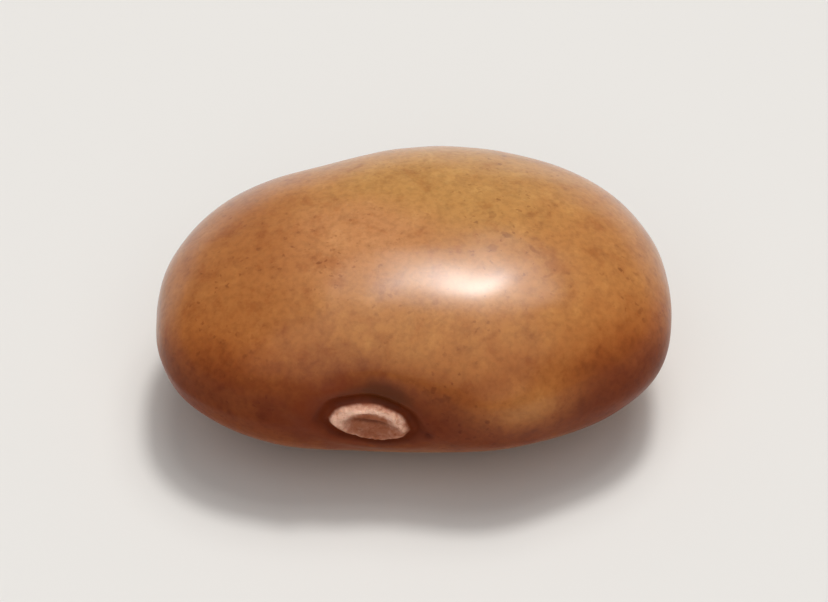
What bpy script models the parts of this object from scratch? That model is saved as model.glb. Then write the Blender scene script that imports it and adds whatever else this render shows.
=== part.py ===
"""One whole, dry horse gram seed, lying on its broad side.

Metres, +Z up. X runs along the seed, the hilum faces -Y, and the seed rests on
a small flat spot at Z = 0. The origin is under the middle of its box.
"""

import math

import bmesh
import bpy

MM = 0.001

# Size of the seed
LENGTH = 5.6 * MM
WIDTH = 4.1 * MM
THICKNESS = 2.4 * MM
FLAT_DEPTH = 0.04 * MM

# Outline seen from above: 2 is an ellipse, more is squarer
PLAN_FULLNESS = 2.41
SECTION_FULLNESS = 2.15
END_BEND = 0.215 * MM
BACK_NARROWING = 0.02
END_SKEW = 0.02
END_TAPER = 0.02
END_THICKENING = 0.03

# Flatter stretch of the back, left of its middle
BACK_FLAT_DEPTH = 0.14 * MM
BACK_FLAT_X = -0.93 * MM
BACK_FLAT_HALF_WIDTH = 0.76 * MM

# Notch in the near edge, and the radicle's swelling beside it
NOTCH_DEPTH = 0.15 * MM
NOTCH_HALF_WIDTH = 0.60 * MM
NOTCH_HALF_HEIGHT = 0.65 * MM
RADICLE_SWELL = 0.17 * MM
RADICLE_X = 0.95 * MM
RADICLE_HALF_WIDTH = 0.75 * MM

# Hilum: an oval floor inside a raised lip, then a narrow moat and a low rim.
# How far out each is, and how wide, is counted in ovals of the hilum's own size.
HILUM_DIRECTION = math.radians(-10.8)
HILUM_HALF_LENGTH = 0.46 * MM
HILUM_HALF_HEIGHT = 0.24 * MM
HILUM_TURN = math.radians(-12.0)
HILUM_FLOOR_RISE = 0.020 * MM
LIP_HEIGHT = 0.060 * MM
LIP_AT = 0.76
LIP_SPREAD = 0.22
MOAT_DEPTH = 0.040 * MM
MOAT_AT = 1.17
MOAT_SPREAD = 0.15
RIM_HEIGHT = 0.030 * MM
RIM_AT = 1.55
RIM_SPREAD = 0.32

# Rings of points around the hilum. The first ones are ovals like its own, out to this
# many times its size. The others open out round the seed, further and further apart.
HILUM_RINGS = 18
HILUM_RINGS_REACH = 2.2
BODY_RINGS = 34
BODY_RING_GROWTH = 1.25
RING_COUNT = HILUM_RINGS + BODY_RINGS
POINTS_PER_RING = 60

COAT_COLOUR = (0.42, 0.20, 0.075, 1.0)
COAT_ROUGHNESS = 0.35


def clear_scene():
    for thing in list(bpy.data.objects):
        bpy.data.objects.remove(thing, do_unlink=True)


def bump(distance, spread):
    """A smooth hill: 1 in the middle, fading to nothing."""
    return math.exp(-(distance / spread) ** 2)


def direction_from_hilum(away, around):
    """Direction at the angle `away` from the hilum, and `around` it from +X."""
    side = math.sin(away) * math.cos(around)
    back = -math.cos(away)
    up = math.sin(away) * math.sin(around)
    return (side * math.cos(HILUM_DIRECTION) - back * math.sin(HILUM_DIRECTION),
            side * math.sin(HILUM_DIRECTION) + back * math.cos(HILUM_DIRECTION), up)


def lens_point(direction):
    """Point of a flattened lens with a slightly square outline."""
    dx, dy, dz = direction
    flat = max(math.hypot(dx, dy), 1e-9)
    corner = ((abs(dx) / flat) ** PLAN_FULLNESS + (abs(dy) / flat) ** PLAN_FULLNESS)
    widen = 1.0 + (corner ** (-1.0 / PLAN_FULLNESS) - 1.0) * flat ** 2
    section = (flat ** SECTION_FULLNESS + abs(dz) ** SECTION_FULLNESS) ** (-1.0 / SECTION_FULLNESS)
    return [LENGTH / 2.0 * dx * section * widen,
            WIDTH / 2.0 * dy * section * widen,
            THICKNESS / 2.0 * dz * section]


def bend_outline(point):
    """Turn the lens into a bean: a round back and a straighter near edge."""
    x, y, z = point
    x = x * (1.0 - BACK_NARROWING * y / (WIDTH / 2.0)) + END_SKEW * y
    y -= END_BEND * (x / (LENGTH / 2.0)) ** 2
    y *= 1.0 + END_TAPER * x / (LENGTH / 2.0)
    z *= 1.0 + END_THICKENING * x / (LENGTH / 2.0)
    return [x, y, z]


def hilum_x():
    """Where the hilum's middle is along the bent outline."""
    return bend_outline(lens_point(direction_from_hilum(0.0, 0.0)))[0]


def shape_near_edge(point, nearness):
    """Hollow the notch, and swell the coat over the radicle."""
    x, y, z = point
    level = nearness * bump(z, NOTCH_HALF_HEIGHT)
    y += level * NOTCH_DEPTH * bump(x - hilum_x(), NOTCH_HALF_WIDTH)
    y -= level * RADICLE_SWELL * bump(x - RADICLE_X, RADICLE_HALF_WIDTH)
    return [x, y, z]


def flatten_back(point, farness):
    """Press the back in a little, left of the middle."""
    x, y, z = point
    return [x, y - farness * BACK_FLAT_DEPTH * bump(x - BACK_FLAT_X, BACK_FLAT_HALF_WIDTH), z]


def hilum_height(x, z):
    """Height of the hilum's floor, lip, moat and rim over the coat."""
    side = x - hilum_x()
    along = side * math.cos(HILUM_TURN) + z * math.sin(HILUM_TURN)
    across = z * math.cos(HILUM_TURN) - side * math.sin(HILUM_TURN)
    oval = math.hypot(along / HILUM_HALF_LENGTH, across / HILUM_HALF_HEIGHT)
    height = HILUM_FLOOR_RISE * max(0.0, 1.0 - oval ** 2)
    height += LIP_HEIGHT * bump(oval - LIP_AT, LIP_SPREAD)
    height -= MOAT_DEPTH * bump(oval - MOAT_AT, MOAT_SPREAD)
    height += RIM_HEIGHT * bump(oval - RIM_AT, RIM_SPREAD)
    return height


def ring_direction(ring, step):
    """Direction of point number `step` on ring number `ring`, counted from the hilum."""
    turn = 2.0 * math.pi * step / POINTS_PER_RING
    along = HILUM_HALF_LENGTH * math.cos(turn)
    across = HILUM_HALF_HEIGHT * math.sin(turn)
    side = (along * math.cos(HILUM_TURN) - across * math.sin(HILUM_TURN)) / (LENGTH / 2.0)
    up = (along * math.sin(HILUM_TURN) + across * math.cos(HILUM_TURN)) / (THICKNESS / 2.0)
    start = HILUM_RINGS_REACH * math.hypot(side, up)
    if ring <= HILUM_RINGS:
        away = start * ring / HILUM_RINGS
    else:
        away = start + (math.pi - start) * ((ring - HILUM_RINGS) / BODY_RINGS) ** BODY_RING_GROWTH
    return direction_from_hilum(away, math.atan2(up, side))


def seed_point(ring, step):
    """Point number `step` on ring number `ring`, counted from the hilum."""
    direction = ring_direction(ring, step)
    nearness = max(0.0, -direction[1]) ** 2
    point = bend_outline(lens_point(direction))
    point = shape_near_edge(point, nearness)
    x, y, z = flatten_back(point, max(0.0, direction[1]))
    return [x, y - nearness * hilum_height(x, z), z]


def fit_to_size(points):
    """Centre the points over the origin, at the driving length, width and thickness."""
    sizes = (LENGTH, WIDTH, THICKNESS + FLAT_DEPTH)
    lows = [min(point[axis] for point in points) for axis in range(3)]
    highs = [max(point[axis] for point in points) for axis in range(3)]
    bottoms = (-LENGTH / 2.0, -WIDTH / 2.0, -FLAT_DEPTH)
    return [[bottoms[axis] + (point[axis] - lows[axis]) * sizes[axis] / (highs[axis] - lows[axis])
             for axis in range(3)] for point in points]


def ring_points():
    """The hilum's own point, then each ring, then the point opposite the hilum."""
    points = [seed_point(0, 0)]
    for ring in range(1, RING_COUNT):
        points += [seed_point(ring, step) for step in range(POINTS_PER_RING)]
    points.append(seed_point(RING_COUNT, 0))
    return fit_to_size(points)


def skin_rings(mesh):
    """Join neighbouring rings with faces, and close both ends with triangles."""
    verts = [mesh.verts.new(point) for point in ring_points()]
    last_start = 1 + (RING_COUNT - 2) * POINTS_PER_RING
    for step in range(POINTS_PER_RING):
        after = (step + 1) % POINTS_PER_RING
        mesh.faces.new((verts[0], verts[1 + step], verts[1 + after]))
        mesh.faces.new((verts[-1], verts[last_start + after], verts[last_start + step]))
        for ring in range(RING_COUNT - 2):
            start = 1 + ring * POINTS_PER_RING
            mesh.faces.new((verts[start + step], verts[start + POINTS_PER_RING + step],
                            verts[start + POINTS_PER_RING + after], verts[start + after]))


def cut_flat_spot(mesh):
    """Cut the underside at Z = 0, which leaves the flat spot that the seed rests on."""
    cut = bmesh.ops.bisect_plane(mesh, geom=mesh.verts[:] + mesh.edges[:] + mesh.faces[:],
                                 dist=1e-8, plane_co=(0.0, 0.0, 0.0), plane_no=(0.0, 0.0, -1.0),
                                 clear_outer=True)
    border = [item for item in cut["geom_cut"] if isinstance(item, bmesh.types.BMEdge)]
    return bmesh.ops.edgeloop_fill(mesh, edges=border)["faces"]


def coat_material():
    material = bpy.data.materials.new("seed_coat")
    material.use_nodes = True
    shader = material.node_tree.nodes["Principled BSDF"]
    shader.inputs["Base Color"].default_value = COAT_COLOUR
    shader.inputs["Roughness"].default_value = COAT_ROUGHNESS
    shader.inputs["Metallic"].default_value = 0.0
    material.diffuse_color = COAT_COLOUR
    return material


def build_seed():
    mesh = bmesh.new()
    skin_rings(mesh)
    flat_faces = cut_flat_spot(mesh)
    bmesh.ops.recalc_face_normals(mesh, faces=mesh.faces[:])
    for face in mesh.faces:
        face.smooth = face not in flat_faces
    data = bpy.data.meshes.new("seed")
    mesh.to_mesh(data)
    mesh.free()
    data.materials.append(coat_material())
    seed = bpy.data.objects.new("seed", data)
    bpy.context.scene.collection.objects.link(seed)
    return seed


clear_scene()
build_seed()
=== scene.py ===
"""The looks of one dry horse gram seed: its fine surface, its coat, and a plain pale studio.

Metres, +Z up. The seed's length, width and thickness come from the frame, and
the shape follows the same rules as the CAD solid, with finer relief on top.
"""

import math

import bpy
import numpy as np
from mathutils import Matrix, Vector, noise


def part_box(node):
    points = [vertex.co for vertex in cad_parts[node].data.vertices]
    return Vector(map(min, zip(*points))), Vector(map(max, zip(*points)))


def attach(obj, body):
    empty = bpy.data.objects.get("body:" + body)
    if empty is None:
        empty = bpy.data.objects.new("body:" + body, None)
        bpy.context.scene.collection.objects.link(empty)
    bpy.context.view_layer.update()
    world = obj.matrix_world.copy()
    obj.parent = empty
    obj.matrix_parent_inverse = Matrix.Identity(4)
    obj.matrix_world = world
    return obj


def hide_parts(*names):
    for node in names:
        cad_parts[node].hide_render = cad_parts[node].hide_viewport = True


MM = 0.001

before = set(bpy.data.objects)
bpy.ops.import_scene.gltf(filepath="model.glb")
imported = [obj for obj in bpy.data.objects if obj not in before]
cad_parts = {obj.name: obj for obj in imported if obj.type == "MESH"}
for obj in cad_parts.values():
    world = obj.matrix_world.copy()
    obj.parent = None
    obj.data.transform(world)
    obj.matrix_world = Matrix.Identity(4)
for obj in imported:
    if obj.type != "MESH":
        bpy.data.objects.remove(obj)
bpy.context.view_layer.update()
seed_low, seed_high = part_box("seed")
LENGTH, WIDTH, THICKNESS = seed_high - seed_low

# Body of the seed, as in the CAD solid. A fullness of 2 is an ellipse, more is squarer.
FLAT_DEPTH = 0.04 * MM
PLAN_FULLNESS = 2.41
SECTION_FULLNESS = 2.15
END_BEND = 0.215 * MM
BACK_NARROWING = 0.02
END_SKEW = 0.02
END_TAPER = 0.02
END_THICKENING = 0.03

# Flatter stretch of the back, notch in the near edge, and swelling over the radicle
BACK_FLAT_DEPTH = 0.14 * MM
BACK_FLAT_X = -0.93 * MM
BACK_FLAT_HALF_WIDTH = 0.76 * MM
NOTCH_DEPTH = 0.15 * MM
NOTCH_HALF_WIDTH = 0.60 * MM
NOTCH_HALF_HEIGHT = 0.65 * MM
RADICLE_SWELL = 0.17 * MM
RADICLE_X = 0.95 * MM
RADICLE_HALF_WIDTH = 0.75 * MM

# Hilum: an oval floor inside a raised lip, then a narrow moat and a low rim. How far out
# each is, how wide, and where it fades is counted in ovals of the hilum's own size.
HILUM_DIRECTION = math.radians(-10.8)
HILUM_HALF_LENGTH = 0.46 * MM
HILUM_HALF_HEIGHT = 0.24 * MM
HILUM_TURN = math.radians(-12.0)
HILUM_FLOOR_RISE = 0.020 * MM
HILUM_FLOOR_FADE = (0.85, 1.05)
LIP_HEIGHT = 0.060 * MM
LIP_AT = 0.76
LIP_SPREAD = 0.22
MOAT_DEPTH = 0.040 * MM
MOAT_AT = 1.17
MOAT_SPREAD = 0.15
RIM_HEIGHT = 0.030 * MM
RIM_AT = 1.55
RIM_SPREAD = 0.32

# Waves of the hilum's uneven edge: height, number of them round it, and start
HILUM_UNEVENNESS = 0.07
HILUM_WAVES = ((0.8, 2.0, 1.1), (0.5, 3.0, 2.1), (0.2, 8.0, 4.0))

# Lumps of the crumbly lip and floor: wavelength, height and place of each noise
LIP_LUMPS = ((0.100 * MM, 0.45, (2.6, 7.1, 3.9)), (0.040 * MM, 0.22, (5.3, 1.8, 6.4)))

# Slit along the hilum's floor
GROOVE_DEPTH = 0.022 * MM
GROOVE_HALF_WIDTH = 0.022 * MM
GROOVE_REACH = 0.60

# Beside the hilum, along and across its oval: the hollow above it, which the colour darkens
# as painted shade, and whose bend is counted per millimetre, the micropyle at one end, and
# the small swelling at the other
BROW_ALONG = 0.05 * MM
BROW_ACROSS = 0.39 * MM
BROW_BEND = 0.5
BROW_HALF_LENGTH = 0.38 * MM
BROW_HALF_HEIGHT = 0.12 * MM
BROW_DEPTH = 0.030 * MM
MICROPYLE_ALONG = 0.62 * MM
MICROPYLE_RADIUS = 0.042 * MM
MICROPYLE_DEPTH = 0.032 * MM
LENS_ALONG = -0.78 * MM
LENS_HALF_LENGTH = 0.17 * MM
LENS_HALF_HEIGHT = 0.11 * MM
LENS_HEIGHT = 0.035 * MM

# Faint line round the left end, which rises over this share of the half length, and the
# crease above and below the radicle, whose sag is counted per millimetre
RAPHE_HEIGHT = 0.010 * MM
RAPHE_HALF_WIDTH = 0.07 * MM
RAPHE_RISE = 0.25
CREASE_DEPTH = 0.012 * MM
CREASE_Z = 0.50 * MM
CREASE_SAG = 0.22
CREASE_HALF_WIDTH = 0.12 * MM
CREASE_X = 1.1 * MM
CREASE_HALF_LENGTH = 0.85 * MM

# Unevenness of the coat: wavelength, height and place of its noise
DENTS = (1.15 * MM, 0.022 * MM, (3.1, 0.4, 7.7))
RIPPLES = (0.42 * MM, 0.0055 * MM, (8.2, 5.9, 1.3))

# Where the hilum's colours lie. The pale line of the lip is further in on its upper side,
# and the lip is darkened on its lower side as painted shade. The moat, the groove and
# the micropyle are darkened as painted shade in their hollows; the halo is the coat's own.
TISSUE_FADE = (0.88, 1.08)
LIP_SHIFT = -0.14
LIP_PALENESS_SPREAD = 0.29
LIP_SHADE = 0.75
LIP_SHADE_SLOPE = 0.20
LIP_SHADE_FADE = (-0.16 * MM, 0.12 * MM)
MOAT_SHADE_SPREAD = 1.9 * MOAT_SPREAD
GROOVE_SHADE_HALF_WIDTH = 1.3 * GROOVE_HALF_WIDTH
MICROPYLE_SHADE_RADIUS = 1.5 * MICROPYLE_RADIUS
HALO_ALONG = -0.22 * MM
HALO_HALF_LENGTH = 1.10 * MM
HALO_HALF_HEIGHT = 0.76 * MM

# Points with less nearness than this don't face the near edge. They get none of the
# hilum's colours, as if they were this many ovals away from it.
NEAR_SIDE = 0.2
FAR_OFF = 99.0

# Colour patches on the upper broad side: middle and half sizes along X and Y
GOLD_PATCH = (0.45 * MM, 0.75 * MM, 1.7 * MM, 1.1 * MM)
PINK_PATCH = (-0.75 * MM, -0.25 * MM, 1.1 * MM, 0.75 * MM)

# The ends' deeper colour, partly the coat's own and partly painted shade that makes the left
# end darker: where along X it is weakest, and the distances from there, in half lengths,
# over which it comes in
ENDS_SHIFT = 0.65 * MM
ENDS_FADE = (0.36, 1.05)

# The redder, darker band round the near edge, partly the coat's own colour and partly painted
# shade on the side turned from the light, which comes in over this stretch of the half width,
# and its gap over the radicle, where less shade is painted
RED_BAND_HALF_HEIGHT = 0.81 * MM
RED_BAND_FADE = (-0.2, 0.75)
RED_BAND_GAP = 0.60
RED_BAND_GAP_X = 1.05 * MM
RED_BAND_GAP_Z = 0.23 * MM
RED_BAND_GAP_HALF_WIDTH = 0.58 * MM
RED_BAND_GAP_HALF_HEIGHT = 0.25 * MM

# Rings of points around the hilum. The first ones are ovals like its own, out to this
# many times its size. The others open out round the seed, further and further apart.
HILUM_RINGS = 110
HILUM_RINGS_REACH = 2.2
BODY_RINGS = 220
BODY_RING_GROWTH = 1.3
RING_COUNT = HILUM_RINGS + BODY_RINGS
POINTS_PER_RING = 290


def bump(distance, spread):
    """A smooth hill: 1 in the middle, fading to nothing."""
    return np.exp(-(distance / spread) ** 2)


def smooth_step(value, start, end):
    """0 below start, 1 above end, and smooth between them."""
    part = np.clip((value - start) / (end - start), 0.0, 1.0)
    return part * part * (3.0 - 2.0 * part)


def noise_over(points, wave, place):
    """Smooth noise from -1 to 1 at each point."""
    shift = Vector(place)
    return np.array([noise.noise(Vector(point) / wave + shift) for point in points])


# Shape

def directions_from_hilum(away, around):
    """Directions at the angle `away` from the hilum, and `around` it from +X."""
    side = np.sin(away) * np.cos(around)
    back = -np.cos(away)
    up = np.sin(away) * np.sin(around)
    return (side * math.cos(HILUM_DIRECTION) - back * math.sin(HILUM_DIRECTION),
            side * math.sin(HILUM_DIRECTION) + back * math.cos(HILUM_DIRECTION), up)


def lens_points(directions):
    """Points of a flattened lens with a slightly square outline."""
    dx, dy, dz = directions
    flat = np.maximum(np.hypot(dx, dy), 1e-9)
    corner = (np.abs(dx) / flat) ** PLAN_FULLNESS + (np.abs(dy) / flat) ** PLAN_FULLNESS
    widen = 1.0 + (corner ** (-1.0 / PLAN_FULLNESS) - 1.0) * flat ** 2
    section = (flat ** SECTION_FULLNESS + np.abs(dz) ** SECTION_FULLNESS) ** (-1.0 / SECTION_FULLNESS)
    return (LENGTH / 2.0 * dx * section * widen,
            WIDTH / 2.0 * dy * section * widen,
            THICKNESS / 2.0 * dz * section)


def bend_outline(x, y, z):
    """Turn the lens into a bean: a round back and a straighter near edge."""
    x = x * (1.0 - BACK_NARROWING * y / (WIDTH / 2.0)) + END_SKEW * y
    y = y - END_BEND * (x / (LENGTH / 2.0)) ** 2
    y = y * (1.0 + END_TAPER * x / (LENGTH / 2.0))
    z = z * (1.0 + END_THICKENING * x / (LENGTH / 2.0))
    return x, y, z


def hilum_x():
    """Where the hilum's middle is along the bent outline."""
    middle = directions_from_hilum(np.array([0.0]), np.array([0.0]))
    return bend_outline(*lens_points(middle))[0][0]


def shape_near_edge(x, y, z, nearness):
    """Hollow the notch, and swell the coat over the radicle."""
    level = nearness * bump(z, NOTCH_HALF_HEIGHT)
    y = y + level * NOTCH_DEPTH * bump(x - hilum_x(), NOTCH_HALF_WIDTH)
    y = y - level * RADICLE_SWELL * bump(x - RADICLE_X, RADICLE_HALF_WIDTH)
    return x, y, z


def flatten_back(x, y, z, farness):
    """Press the back in a little, left of the middle."""
    return x, y - farness * BACK_FLAT_DEPTH * bump(x - BACK_FLAT_X, BACK_FLAT_HALF_WIDTH), z


def hilum_place(x, z):
    """Along and across the hilum's oval, in metres from its middle."""
    side = x - hilum_x()
    along = side * math.cos(HILUM_TURN) + z * math.sin(HILUM_TURN)
    across = z * math.cos(HILUM_TURN) - side * math.sin(HILUM_TURN)
    return along, across


def hilum_oval(along, across):
    """Distance from the hilum's middle: 1 all along its slightly uneven edge."""
    oval = np.hypot(along / HILUM_HALF_LENGTH, across / HILUM_HALF_HEIGHT)
    turn = np.arctan2(across / HILUM_HALF_HEIGHT, along / HILUM_HALF_LENGTH)
    waves = sum(height * np.sin(number * turn + start) for height, number, start in HILUM_WAVES)
    return oval * (1.0 + HILUM_UNEVENNESS * waves)


def brow(along, across):
    """The hollow just above the hilum, which the coat's colour darkens as painted shade."""
    bent = across - BROW_ACROSS + BROW_BEND * (along - BROW_ALONG) ** 2 / MM
    return bump(np.hypot((along - BROW_ALONG) / BROW_HALF_LENGTH, bent / BROW_HALF_HEIGHT), 1.0)


def hilum_relief(x, z):
    """Height of the hilum from floor to rim, and of the brow, micropyle and lens beside it."""
    along, across = hilum_place(x, z)
    oval = hilum_oval(along, across)
    places = np.stack((along, across, 0.0 * along), axis=1)
    lumps = 1.0 + sum(depth * noise_over(places, wave, place) for wave, depth, place in LIP_LUMPS)
    height = HILUM_FLOOR_RISE * (1.0 - smooth_step(oval, *HILUM_FLOOR_FADE)) * lumps
    height += LIP_HEIGHT * bump(oval - LIP_AT, LIP_SPREAD) * lumps
    height -= GROOVE_DEPTH * bump(across, GROOVE_HALF_WIDTH) * bump(oval, GROOVE_REACH) ** 2
    height -= MOAT_DEPTH * bump(oval - MOAT_AT, MOAT_SPREAD)
    height += RIM_HEIGHT * bump(oval - RIM_AT, RIM_SPREAD)
    height -= BROW_DEPTH * brow(along, across)
    height -= MICROPYLE_DEPTH * bump(np.hypot(along - MICROPYLE_ALONG, across), MICROPYLE_RADIUS)
    height += (LENS_HEIGHT * bump((along - LENS_ALONG) / LENS_HALF_LENGTH, 1.0)
               * bump(across, LENS_HALF_HEIGHT))
    return height


def coat_relief(points, x, z, nearness):
    """Height of the dents and ripples of the coat, of the raphe and of the crease."""
    height = np.zeros(len(points))
    for wave, depth, place in (DENTS, RIPPLES):
        height -= depth * noise_over(points, wave, place)
    left = np.clip(-(x - hilum_x()) / (LENGTH / 2.0), 0.0, None)
    height += RAPHE_HEIGHT * bump(z, RAPHE_HALF_WIDTH) * np.clip(left / RAPHE_RISE, 0.0, 1.0)
    crease_line = CREASE_Z - CREASE_SAG * (x - CREASE_X) ** 2 / MM
    reach = bump(x - CREASE_X, CREASE_HALF_LENGTH) * nearness
    height -= CREASE_DEPTH * reach * bump(np.abs(z) - crease_line, CREASE_HALF_WIDTH)
    return height


def fit_to_box(x, y, z):
    """Fit the points to the seed's box, with the flat spot's depth below it."""
    lows = (seed_low.x, seed_low.y, seed_low.z - FLAT_DEPTH)
    highs = (seed_high.x, seed_high.y, seed_high.z)
    return [low + (part - part.min()) * (high - low) / (part.max() - part.min())
            for part, low, high in zip((x, y, z), lows, highs)]


def seed_directions():
    """Towards the hilum, then round each ring, then away from the hilum."""
    turn = 2.0 * math.pi * np.arange(POINTS_PER_RING) / POINTS_PER_RING
    along = HILUM_HALF_LENGTH * np.cos(turn)
    across = HILUM_HALF_HEIGHT * np.sin(turn)
    side = (along * math.cos(HILUM_TURN) - across * math.sin(HILUM_TURN)) / (LENGTH / 2.0)
    up = (along * math.sin(HILUM_TURN) + across * math.cos(HILUM_TURN)) / (THICKNESS / 2.0)
    reach = HILUM_RINGS_REACH * np.hypot(side, up)
    rings = np.arange(1, RING_COUNT)[:, None]
    beyond = np.clip((rings - HILUM_RINGS) / BODY_RINGS, 0.0, 1.0) ** BODY_RING_GROWTH
    away = np.minimum(rings / HILUM_RINGS, 1.0) * reach + (math.pi - reach) * beyond
    around = np.broadcast_to(np.arctan2(up, side), away.shape)
    away = np.concatenate(([0.0], away.ravel(), [math.pi]))
    around = np.concatenate(([0.0], around.ravel(), [0.0]))
    return directions_from_hilum(away, around)


def ring_faces():
    """Faces between neighbouring rings, with triangles at both ends."""
    faces = []
    last = 1 + (RING_COUNT - 1) * POINTS_PER_RING
    last_start = last - POINTS_PER_RING
    for step in range(POINTS_PER_RING):
        after = (step + 1) % POINTS_PER_RING
        faces.append((0, 1 + step, 1 + after))
        faces.append((last, last_start + after, last_start + step))
        for start in range(1, last_start, POINTS_PER_RING):
            faces.append((start + step, start + POINTS_PER_RING + step,
                          start + POINTS_PER_RING + after, start + after))
    return faces


def vertex_normals(data):
    """The mesh's normal at each point, as an array."""
    normals = np.zeros(len(data.vertices) * 3, dtype=np.float32)
    data.vertex_normals.foreach_get("vector", normals)
    return normals.reshape(-1, 3).astype(float)


# Masks that the coat's material reads

def patch(x, y, place):
    """A soft oval patch on a broad side: its middle and half sizes along X and Y."""
    middle_x, middle_y, half_x, half_y = place
    return bump(np.hypot((x - middle_x) / half_x, (y - middle_y) / half_y), 1.0)


def hilum_masks(x, z, nearness):
    """The hilum's pale tissue and lip, with painted shade on the lip's lower side, and the dark places
    round it: painted shade in the brow, moat, groove and micropyle, and the halo's own dark red.
    """
    near = nearness > NEAR_SIDE
    along, across = hilum_place(x, z)
    oval = np.where(near, hilum_oval(along, across), FAR_OFF)
    from_lip = oval - LIP_AT - LIP_SHIFT * across / HILUM_HALF_HEIGHT
    # Painted shade on the lower side of the lip, which faces away from the light
    lower_side_shade = smooth_step(LIP_SHADE_SLOPE * along - across, *LIP_SHADE_FADE)
    from_halo = np.hypot((along - HALO_ALONG) / HALO_HALF_LENGTH, across / HALO_HALF_HEIGHT)
    from_micropyle = np.hypot(along - MICROPYLE_ALONG, across)
    return {
        "tissue": 1.0 - smooth_step(oval, *TISSUE_FADE),
        "lip": (1.0 - LIP_SHADE * lower_side_shade) * bump(from_lip, LIP_PALENESS_SPREAD),
        "brow": brow(along, across) * near,
        "halo": bump(from_halo, 1.0) * near,
        "moat": bump(oval - MOAT_AT, MOAT_SHADE_SPREAD),
        "groove": bump(across, GROOVE_SHADE_HALF_WIDTH) * bump(oval, GROOVE_REACH),
        "micropyle": bump(from_micropyle, MICROPYLE_SHADE_RADIUS) * near,
    }


def coat_masks(x, y, z):
    """The redder, darker near edge, partly the coat's own colour and partly painted shade, the patches
    on the upper broad side, and the ends, whose deeper colour is partly painted shade on the left end.
    """
    # Darker and redder towards the near edge: partly the coat's own colour, partly painted shade
    gap = (bump(x - RED_BAND_GAP_X, RED_BAND_GAP_HALF_WIDTH)
           * bump(z - RED_BAND_GAP_Z, RED_BAND_GAP_HALF_HEIGHT))
    band = bump(z, RED_BAND_HALF_HEIGHT) * smooth_step(-y / (WIDTH / 2.0), *RED_BAND_FADE)
    return {
        "near_edge": (1.0 - RED_BAND_GAP * gap) * band,
        "gold": patch(x, y, GOLD_PATCH) * (z > 0.0),
        "pink": patch(x, y, PINK_PATCH) * (z > 0.0),
        "ends": smooth_step(np.abs(x - ENDS_SHIFT) / (LENGTH / 2.0), *ENDS_FADE),
    }


def add_masks(data, masks):
    """Keep each mask's number from 0 to 1 at each point of the mesh."""
    for name, values in masks.items():
        layer = data.attributes.new(name, "FLOAT", "POINT")
        layer.data.foreach_set("value", np.clip(values, 0.0, 1.0).astype(np.float32))


def make_seed():
    """The seed as one closed skin of rings around the hilum, with its relief and its flat spot."""
    directions = seed_directions()
    nearness = np.maximum(0.0, -directions[1]) ** 2
    x, y, z = bend_outline(*lens_points(directions))
    x, y, z = shape_near_edge(x, y, z, nearness)
    x, y, z = flatten_back(x, y, z, np.maximum(0.0, directions[1]))
    y = y - nearness * hilum_relief(x, z)
    points = np.stack(fit_to_box(x, y, z), axis=1)
    data = bpy.data.meshes.new("seed_coat")
    data.from_pydata([tuple(point) for point in points], [], ring_faces())
    points += vertex_normals(data) * coat_relief(points, x, z, nearness)[:, None]
    points[:, 2] = np.maximum(points[:, 2], seed_low.z)
    data.vertices.foreach_set("co", points.astype(np.float32).ravel())
    data.update()
    data.shade_smooth()
    add_masks(data, hilum_masks(x, z, nearness))
    add_masks(data, coat_masks(x, y, z))
    piece = bpy.data.objects.new("seed_coat", data)
    bpy.context.scene.collection.objects.link(piece)
    return piece


# Materials

# Colours of the coat. Some are painted shade: the near edge's browns in part, and the dark browns of
# the hilum's hollows.
TAN = (0.46, 0.185, 0.047)
GOLD = (0.49, 0.235, 0.062)
PINK_TAN = (0.53, 0.228, 0.085)
ORANGE_BROWN = (0.37, 0.122, 0.026)
# EDGE_BROWN and RED_BROWN darken the near edge, partly as the coat's own colour and partly as painted
# shade; RED_BROWN is also the halo's own dark red.
EDGE_BROWN = (0.36, 0.106, 0.020)
RED_BROWN = (0.16, 0.026, 0.006)
# Painted shade for the moat round the hilum and for the micropyle's pit
HOLLOW_SHADE = (0.10, 0.016, 0.005)
# Painted shade in the hollow above the hilum
BROW_SHADE = (0.10, 0.022, 0.004)
TISSUE = (0.97, 0.60, 0.45)
TISSUE_FLOOR = (0.36, 0.125, 0.065)
# Painted shade in the groove along the hilum
GROOVE_SHADE_COLOUR = (0.16, 0.045, 0.022)

# Tones that the coat's colour is multiplied by in its mottles, dots, grain and crumbs
NO_TONE = (1.0, 1.0, 1.0)
DARK_TONE = (0.83, 0.73, 0.64)
PALE_TONE = (1.12, 1.19, 1.26)
FLECK_TONE = (0.45, 0.30, 0.22)
GRAIN_TONE = (0.82, 0.80, 0.78)
CRUMB_TONE = (0.80, 0.68, 0.62)

# Features of Blender's noise are about this large at scale 1
NOISE_FEATURE = 0.5

# Noises: size in millimetres, detail, roughness, distortion and place
GOLD_DRIFT = (0.9, 4.0, 0.6, 0.3, (0.0, 0.0, 0.0))
PINK_DRIFT = (0.7, 4.0, 0.6, 0.3, (5.0, 2.0, 9.0))
ENDS_DRIFT = (0.8, 4.0, 0.6, 0.3, (1.0, 8.0, 3.0))
EDGE_DRIFT = (0.5, 4.0, 0.6, 0.3, (2.0, 2.0, 4.0))
MOTTLE = (0.16, 4.0, 0.65, 0.2, (7.0, 1.0, 5.0))
DOT_CLOUDS = (0.55, 3.0, 0.6, 0.2, (9.0, 4.0, 4.0))
GRAIN = (0.035, 3.0, 0.6, 0.0, (2.0, 7.0, 7.0))
RAGGED_EDGE = (0.10, 4.0, 0.65, 0.4, (1.0, 1.0, 1.0))
BROKEN_EDGE = (0.16, 4.0, 0.65, 0.3, (3.0, 9.0, 2.0))
LIP_STAINS = (0.05, 4.0, 0.65, 0.3, (4.0, 4.0, 1.0))
CRUMBS = (0.03, 4.0, 0.7, 0.5, (6.0, 6.0, 2.0))
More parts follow.
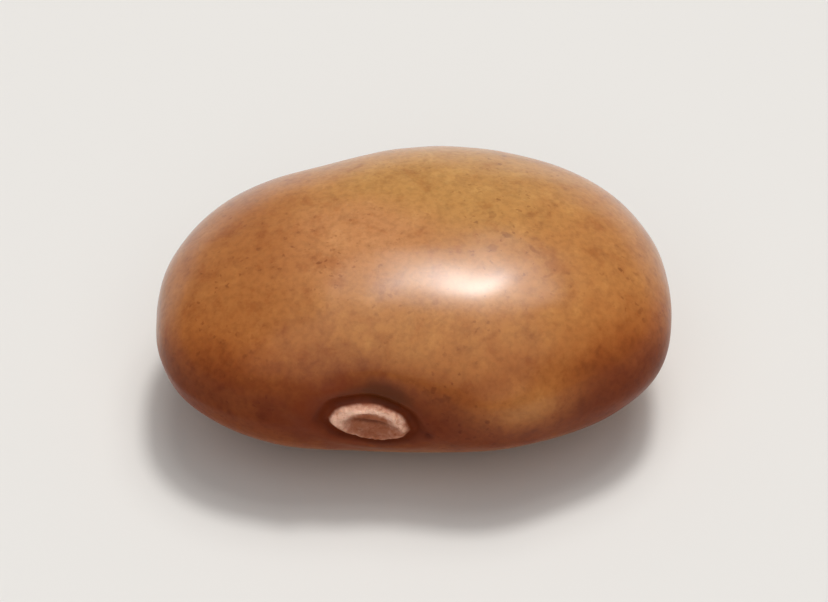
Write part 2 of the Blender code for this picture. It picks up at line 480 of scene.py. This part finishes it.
GLOSS_DRIFT = (0.25, 4.0, 0.6, 0.0, (6.0, 3.0, 8.0))
PEEL = (0.11, 3.0, 0.55, 0.0, (1.0, 9.0, 5.0))
FIBRES = (0.022, 4.0, 0.65, 0.6, (3.0, 3.0, 7.0))

# Layers of colour: mask, noise, what the noise adds to the mask at its lowest and its
# highest, where the layer comes in as that rises, its colour, and how strong it gets
COAT_LAYERS = (
    ("gold", GOLD_DRIFT, (-0.45, 0.45), (0.15, 0.85), GOLD, 1.0),
    ("pink", PINK_DRIFT, (-0.45, 0.45), (0.2, 0.9), PINK_TAN, 0.75),
    # The ends and the near edge are partly the coat's own browns and partly painted shade.
    ("ends", ENDS_DRIFT, (-0.50, 0.60), (0.15, 0.95), ORANGE_BROWN, 0.8),
    ("near_edge", EDGE_DRIFT, (-0.3, 0.3), (0.15, 0.75), EDGE_BROWN, 1.0),
    ("near_edge", EDGE_DRIFT, (-0.3, 0.3), (0.45, 1.05), RED_BROWN, 0.9),
)
# The halo is the coat's own dark red; the moat and brow layers are painted shade in their hollows.
HILUM_LAYERS = (
    ("halo", RAGGED_EDGE, (-0.45, 0.45), (0.20, 1.0), RED_BROWN, 0.85),
    ("moat", BROKEN_EDGE, (-1.25, 0.95), (0.0, 1.2), HOLLOW_SHADE, 0.85),
    ("brow", BROKEN_EDGE, (-0.50, 0.50), (0.05, 0.85), BROW_SHADE, 0.92),
)
TISSUE_LAYERS = (
    ("lip", LIP_STAINS, (0.55, -0.55), (0.0, 1.0), TISSUE, 1.0),
)

# The tissue's own edge, in the same terms, and how strongly its groove is darkened as painted shade
TISSUE_SWAY = (-0.25, 0.25)
TISSUE_COMES_IN = (0.25, 0.85)
GROOVE_STRENGTH = 0.8

# Cells are put out of line by noise of this size, by up to this reach, both counted in
# their spacing
WARP_SIZE = 0.5
WARP_REACH = 1.5

# Where mottles, clouds of dots, grain and crumbs come in as their noise rises or falls
DARK_MOTTLE_FADE = (0.50, 0.70)
PALE_MOTTLE_FADE = (0.48, 0.28)
DOT_CLOUDS_FADE = (0.36, 0.66)
GRAIN_FADE = (0.35, 0.75)
CRUMBS_FADE = (0.50, 0.66)

# Dots: spacing in millimetres, place, share of the cells that hold one, and strength.
# Their radii and their soft edges are shares of the spacing.
DOTS = ((0.07, (3.0, 6.0, 2.0), 0.40, 0.5), (0.16, (8.0, 3.0, 6.0), 0.16, 0.4))
DOT_RADII = (0.10, 0.38)
DOT_EDGE = (-0.08, 0.12)
DOT_CHANCE_FADE = 0.02

# Gloss of the coat, which is weaker at the near edge and missing on bare tissue
COAT_WEIGHT = 0.96
COAT_ROUGHNESS = 0.24
SPECULAR_LEVEL = 0.04
ROUGHNESS_RANGE = (0.30, 0.46)
BARE_ROUGHNESS = 0.3
BROW_BARENESS = 0.8
NEAR_EDGE_DULLNESS = 0.92

# Light that passes into the coat
SUBSURFACE_WEIGHT = 0.15
SUBSURFACE_RADIUS = (1.0, 0.42, 0.20)
SUBSURFACE_SCALE = 0.2 * MM

# Fine bumps: the dimples' spacing is in millimetres
PEEL_HEIGHT = 0.0050 * MM
DIMPLE_SPACING = 0.06
DIMPLE_PLACE = (2.0, 3.0, 4.0)
DIMPLE_HEIGHT = 0.0012 * MM
FIBRE_HEIGHT = 0.020 * MM

FLOOR_COLOUR = (0.70, 0.687, 0.667)
FLOOR_ROUGHNESS = 0.8


class Nodes:
    """One material's node tree, with a short call for each kind of node."""

    def __init__(self, name):
        self.material = bpy.data.materials.new(name)
        self.material.use_nodes = True
        self.tree = self.material.node_tree
        self.shader = self.tree.nodes["Principled BSDF"]
        self.noises = {}
        in_millimetres = self.tree.nodes.new("ShaderNodeVectorMath")
        in_millimetres.operation = "SCALE"
        in_millimetres.inputs["Scale"].default_value = 1.0 / MM
        place = self.tree.nodes.new("ShaderNodeTexCoord").outputs["Object"]
        self.tree.links.new(place, in_millimetres.inputs[0])
        self.place = in_millimetres.outputs[0]

    def feed(self, socket, value):
        """Link a node's output to a socket, or set the socket to a plain value."""
        if isinstance(value, bpy.types.NodeSocket):
            self.tree.links.new(value, socket)
        elif isinstance(value, tuple) and len(value) == 3 and len(socket.default_value) == 4:
            socket.default_value = (*value, 1.0)
        else:
            socket.default_value = value

    def math(self, operation, first, second):
        node = self.tree.nodes.new("ShaderNodeMath")
        node.operation = operation
        self.feed(node.inputs[0], first)
        self.feed(node.inputs[1], second)
        return node.outputs[0]

    def between(self, value, low, high):
        """`low` where the value is 0, and `high` where it is 1."""
        result = self.math("MULTIPLY_ADD", value, high - low)
        result.node.inputs[2].default_value = low
        return result

    def shifted(self, shift):
        """The place in millimetres, moved by this much."""
        node = self.tree.nodes.new("ShaderNodeVectorMath")
        node.operation = "ADD"
        self.feed(node.inputs[0], self.place)
        node.inputs[1].default_value = shift
        return node.outputs[0]

    def new_noise(self, size, detail, roughness, distortion, place):
        node = self.tree.nodes.new("ShaderNodeTexNoise")
        self.feed(node.inputs["Vector"], self.shifted(place))
        node.inputs["Scale"].default_value = NOISE_FEATURE / size
        node.inputs["Detail"].default_value = detail
        node.inputs["Roughness"].default_value = roughness
        node.inputs["Distortion"].default_value = distortion
        return node.outputs["Fac"]

    def noise(self, settings):
        """Noise from 0 to 1, made once for each of the settings."""
        if settings not in self.noises:
            self.noises[settings] = self.new_noise(*settings)
        return self.noises[settings]

    def warped(self, place, size, reach):
        """The place, moved about by noise of this size, by up to `reach` millimetres."""
        drift = self.tree.nodes.new("ShaderNodeTexNoise")
        self.feed(drift.inputs["Vector"], place)
        drift.inputs["Scale"].default_value = NOISE_FEATURE / size
        node = self.tree.nodes.new("ShaderNodeVectorMath")
        node.operation = "MULTIPLY_ADD"
        self.feed(node.inputs[0], drift.outputs["Color"])
        node.inputs[1].default_value = (reach, reach, reach)
        self.feed(node.inputs[2], place)
        return node.outputs[0]

    def cells(self, spacing, place):
        """Distance to the nearest of many points about this far apart, and a colour for each."""
        node = self.tree.nodes.new("ShaderNodeTexVoronoi")
        warped = self.warped(self.shifted(place), spacing * WARP_SIZE, spacing * WARP_REACH)
        self.feed(node.inputs["Vector"], warped)
        node.inputs["Scale"].default_value = 1.0 / spacing
        return node.outputs["Distance"], node.outputs["Color"]

    def step(self, value, start, end):
        """0 below start and 1 above end, or the other way round, and smooth between them."""
        node = self.tree.nodes.new("ShaderNodeMapRange")
        node.interpolation_type = "SMOOTHSTEP"
        self.feed(node.inputs["Value"], value)
        node.inputs["From Min"].default_value = start
        node.inputs["From Max"].default_value = end
        return node.outputs["Result"]

    def mask(self, name):
        node = self.tree.nodes.new("ShaderNodeAttribute")
        node.attribute_name = name
        return node.outputs["Fac"]

    def swayed(self, mask, settings, sway):
        """The mask with noise added, from the first to the second number of `sway`."""
        return self.math("ADD", self.mask(mask), self.between(self.noise(settings), *sway))

    def mix(self, factor, first, second, blend="MIX"):
        node = self.tree.nodes.new("ShaderNodeMix")
        node.data_type = "RGBA"
        node.blend_type = blend
        self.feed(node.inputs["Factor"], factor)
        self.feed(node.inputs["A"], first)
        self.feed(node.inputs["B"], second)
        return node.outputs["Result"]

    def toned(self, colour, amount, tone):
        """The colour multiplied by a tone, by this amount."""
        return self.mix(1.0, colour, self.mix(amount, NO_TONE, tone), "MULTIPLY")

    def layered(self, colour, layers):
        """Lay one colour after another over the first, each where its swayed mask is high."""
        for mask, settings, sway, comes_in, layer_colour, strength in layers:
            factor = self.step(self.swayed(mask, settings, sway), *comes_in)
            if strength < 1.0:
                factor = self.between(factor, 0.0, strength)
            colour = self.mix(factor, colour, layer_colour)
        return colour

    def bump(self, height, distance, normal=None):
        node = self.tree.nodes.new("ShaderNodeBump")
        node.inputs["Strength"].default_value = 1.0
        node.inputs["Distance"].default_value = distance
        self.feed(node.inputs["Height"], height)
        if normal is not None:
            self.feed(node.inputs["Normal"], normal)
        return node.outputs["Normal"]


def dots(nodes, spacing, place, share):
    """Small round dots of uneven size, on this share of the cells."""
    distance, chance = nodes.cells(spacing, place)
    parts = nodes.tree.nodes.new("ShaderNodeSeparateColor")
    nodes.feed(parts.inputs["Color"], chance)
    radius = nodes.between(parts.outputs["Red"], *DOT_RADII)
    inside = nodes.step(nodes.math("SUBTRACT", radius, distance), *DOT_EDGE)
    start = 1.0 - share
    chosen = nodes.step(parts.outputs["Green"], start, start + DOT_CHANCE_FADE)
    return nodes.math("MULTIPLY", inside, chosen)


def mottled(nodes, colour):
    """Soft light and dark mottles, clouds of small dark dots, and a fine grain."""
    mottle = nodes.noise(MOTTLE)
    colour = nodes.toned(colour, nodes.step(mottle, *DARK_MOTTLE_FADE), DARK_TONE)
    colour = nodes.toned(colour, nodes.step(mottle, *PALE_MOTTLE_FADE), PALE_TONE)
    clouds = nodes.step(nodes.noise(DOT_CLOUDS), *DOT_CLOUDS_FADE)
    for spacing, place, share, strength in DOTS:
        flecks = nodes.math("MULTIPLY", dots(nodes, spacing, place, share), clouds)
        colour = nodes.toned(colour, nodes.between(flecks, 0.0, strength), FLECK_TONE)
    return nodes.toned(colour, nodes.step(nodes.noise(GRAIN), *GRAIN_FADE), GRAIN_TONE)


def with_hilum(nodes, colour):
    """Dark red halo, painted shade in the moat and brow, then the pale tissue with painted shade in
    its groove.
    """
    colour = nodes.layered(colour, HILUM_LAYERS)
    # Painted shade in the micropyle's pit
    colour = nodes.mix(nodes.mask("micropyle"), colour, HOLLOW_SHADE)
    tissue = nodes.layered(TISSUE_FLOOR, TISSUE_LAYERS)
    tissue = nodes.toned(tissue, nodes.step(nodes.noise(CRUMBS), *CRUMBS_FADE), CRUMB_TONE)
    # Painted shade along the groove's slit
    groove = nodes.between(nodes.mask("groove"), 0.0, GROOVE_STRENGTH)
    tissue = nodes.mix(groove, tissue, GROOVE_SHADE_COLOUR)
    covered = nodes.swayed("tissue", RAGGED_EDGE, TISSUE_SWAY)
    return nodes.mix(nodes.step(covered, *TISSUE_COMES_IN), colour, tissue)


def bareness(nodes):
    """How bare of glossy coat it is: 1 on the hilum and in its moat, less in the brow."""
    hilum = nodes.math("MAXIMUM", nodes.mask("tissue"), nodes.mask("moat"))
    return nodes.math("MAXIMUM", hilum, nodes.between(nodes.mask("brow"), 0.0, BROW_BARENESS))


def fine_bumps(nodes):
    """Peel and dimples all over the coat, and fibres on the hilum's tissue."""
    dimples, _ = nodes.cells(DIMPLE_SPACING, DIMPLE_PLACE)
    fibres = nodes.math("MULTIPLY", nodes.noise(FIBRES), nodes.mask("tissue"))
    normal = nodes.bump(nodes.noise(PEEL), PEEL_HEIGHT)
    normal = nodes.bump(dimples, DIMPLE_HEIGHT, normal)
    return nodes.bump(fibres, FIBRE_HEIGHT, normal)


def coat_material():
    nodes = Nodes("seed_coat")
    inputs = nodes.shader.inputs
    coat = mottled(nodes, nodes.layered(TAN, COAT_LAYERS))
    nodes.feed(inputs["Base Color"], with_hilum(nodes, coat))
    nodes.feed(inputs["Normal"], fine_bumps(nodes))

    bare = bareness(nodes)
    rough = nodes.between(nodes.noise(GLOSS_DRIFT), *ROUGHNESS_RANGE)
    nodes.feed(inputs["Roughness"], nodes.math("ADD", rough, nodes.between(bare, 0.0, BARE_ROUGHNESS)))
    dull_edge = nodes.between(nodes.mask("near_edge"), 0.0, NEAR_EDGE_DULLNESS)
    dull = nodes.math("MAXIMUM", bare, dull_edge)
    nodes.feed(inputs["Coat Weight"], nodes.between(dull, COAT_WEIGHT, 0.0))

    inputs["Coat Roughness"].default_value = COAT_ROUGHNESS
    inputs["Specular IOR Level"].default_value = SPECULAR_LEVEL
    inputs["Subsurface Weight"].default_value = SUBSURFACE_WEIGHT
    inputs["Subsurface Radius"].default_value = SUBSURFACE_RADIUS
    inputs["Subsurface Scale"].default_value = SUBSURFACE_SCALE
    return nodes.material


def floor_material():
    material = bpy.data.materials.new("floor")
    material.use_nodes = True
    shader = material.node_tree.nodes["Principled BSDF"]
    shader.inputs["Base Color"].default_value = (*FLOOR_COLOUR, 1.0)
    shader.inputs["Roughness"].default_value = FLOOR_ROUGHNESS
    return material


# Stage

FLOOR_HALF_SIZE = 0.6

# Camera: its lens and sensor are in millimetres, and it sees from and to these many
# times its distance from the seed
CAMERA_ELEVATION = math.radians(44.0)
CAMERA_TURN = math.radians(3.6)
CAMERA_LENS = 200.0
SENSOR_WIDTH = 36.0
SEED_SHARE_OF_WIDTH = 0.62
NEAREST_SEEN = 0.05
FURTHEST_SEEN = 100.0

# Lights: name, direction towards the light, spread in degrees, strength and colour
KEY_DIRECTION = (0.16, 0.27, 1.0)
FRONT_DIRECTION = (-0.05, -0.60, 1.0)
LIGHTS = (
    ("key", KEY_DIRECTION, 11.0, 0.37, (1.0, 0.985, 0.96)),
    ("glow", KEY_DIRECTION, 36.0, 0.38, (1.0, 0.98, 0.95)),
    ("front", FRONT_DIRECTION, 70.0, 0.27, (1.0, 0.98, 0.95)),
)

# World: pale like the floor up to the first angle above the horizon, then dimmer, and
# as dim as overhead from the second angle up
HORIZON_COLOUR = (0.80, 0.778, 0.745)
OVERHEAD_COLOUR = (0.20, 0.205, 0.215)
HORIZON_TOP = math.radians(4.0)
OVERHEAD_START = math.radians(16.0)


def make_floor():
    half = FLOOR_HALF_SIZE
    data = bpy.data.meshes.new("floor")
    data.from_pydata([(-half, -half, 0.0), (half, -half, 0.0), (half, half, 0.0), (-half, half, 0.0)],
                     [], [(0, 1, 2, 3)])
    data.materials.append(floor_material())
    floor = bpy.data.objects.new("floor", data)
    bpy.context.scene.collection.objects.link(floor)


def make_camera():
    """Look at the middle of the seed, from so far that it fills its share of the width."""
    data = bpy.data.cameras.new("camera")
    data.lens = CAMERA_LENS
    data.sensor_width = SENSOR_WIDTH
    view_width = LENGTH / SEED_SHARE_OF_WIDTH
    distance = view_width / (SENSOR_WIDTH / CAMERA_LENS)
    data.clip_start = distance * NEAREST_SEEN
    data.clip_end = distance * FURTHEST_SEEN
    camera = bpy.data.objects.new("camera", data)
    bpy.context.scene.collection.objects.link(camera)
    middle = (seed_low + seed_high) / 2.0
    level = math.cos(CAMERA_ELEVATION)
    back = Vector((-level * math.sin(CAMERA_TURN), -level * math.cos(CAMERA_TURN),
                   math.sin(CAMERA_ELEVATION)))
    camera.location = middle + back * distance
    camera.rotation_euler = (-back).to_track_quat("-Z", "Y").to_euler()
    bpy.context.scene.camera = camera


def make_light(name, direction, spread, strength, colour):
    data = bpy.data.lights.new(name, "SUN")
    data.angle = math.radians(spread)
    data.energy = strength * math.pi
    data.color = colour
    light = bpy.data.objects.new(name, data)
    bpy.context.scene.collection.objects.link(light)
    light.rotation_euler = (-Vector(direction)).to_track_quat("-Z", "Y").to_euler()


def make_world():
    world = bpy.data.worlds.new("studio")
    world.use_nodes = True
    tree = world.node_tree
    place = tree.nodes.new("ShaderNodeTexCoord").outputs["Generated"]
    parts = tree.nodes.new("ShaderNodeSeparateXYZ")
    tree.links.new(place, parts.inputs[0])
    height = tree.nodes.new("ShaderNodeMapRange")
    height.interpolation_type = "SMOOTHSTEP"
    height.inputs["From Min"].default_value = math.sin(HORIZON_TOP)
    height.inputs["From Max"].default_value = math.sin(OVERHEAD_START)
    tree.links.new(parts.outputs["Z"], height.inputs["Value"])
    mix = tree.nodes.new("ShaderNodeMix")
    mix.data_type = "RGBA"
    mix.inputs["A"].default_value = (*HORIZON_COLOUR, 1.0)
    mix.inputs["B"].default_value = (*OVERHEAD_COLOUR, 1.0)
    tree.links.new(height.outputs["Result"], mix.inputs["Factor"])
    tree.links.new(mix.outputs["Result"], tree.nodes["Background"].inputs["Color"])
    bpy.context.scene.world = world


make_camera()
make_world()
make_floor()
for light in LIGHTS:
    make_light(*light)
bpy.context.scene.view_settings.view_transform = "Standard"

seed = make_seed()
seed.data.materials.append(coat_material())
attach(seed, "root")
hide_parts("seed")
